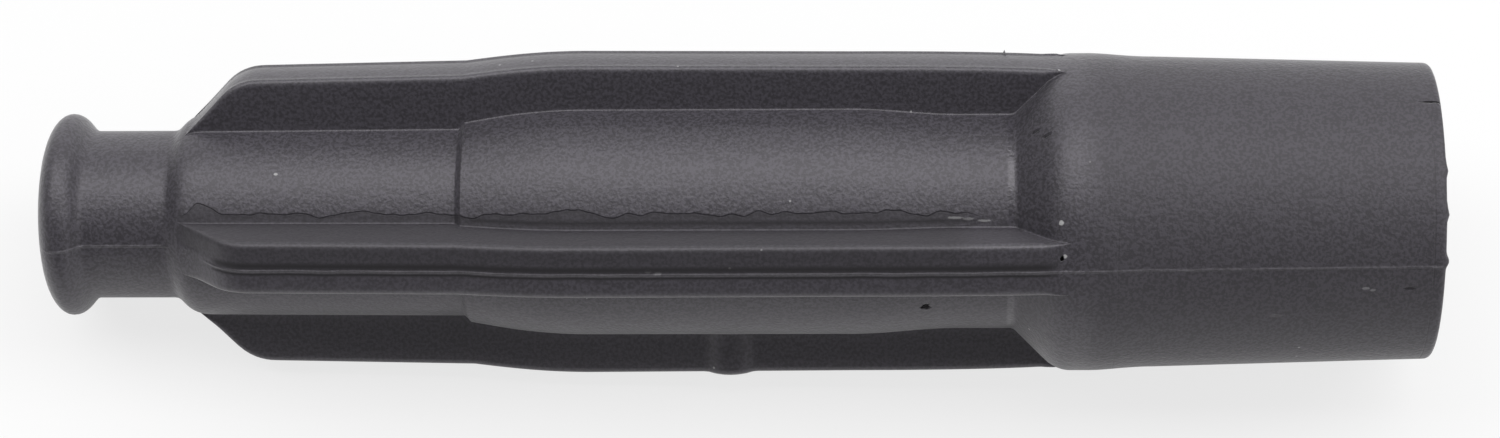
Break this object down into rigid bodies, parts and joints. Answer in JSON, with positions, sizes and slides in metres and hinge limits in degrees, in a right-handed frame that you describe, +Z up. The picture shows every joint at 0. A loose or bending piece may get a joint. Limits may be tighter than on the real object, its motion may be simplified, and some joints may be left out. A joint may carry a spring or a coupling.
{
  "type": "spark plug cap",
  "caption": "Straight rubber spark plug boot with a lipped lead end, lengthwise ribs round a stepped core and a wide sleeve that fits over the plug.",
  "frame": {"origin": "middle of the base of the boot's bounding box, as it lies on its side on a level surface", "axes": "+X towards the plug end along the lying boot, +Z up, +Y to the side; the bore slopes up by 2.5 degrees towards the plug end, as the boot lies on two ribs and its sleeve"},
  "size_m": [0.114, 0.026, 0.0263],
  "materials": {
    "boot_rubber": "matte moulded grain with smoother rib sides"
  },
  "bodies": {
    "root": {"rubber_boot": "boot_rubber"}
  },
  "joints": []
}
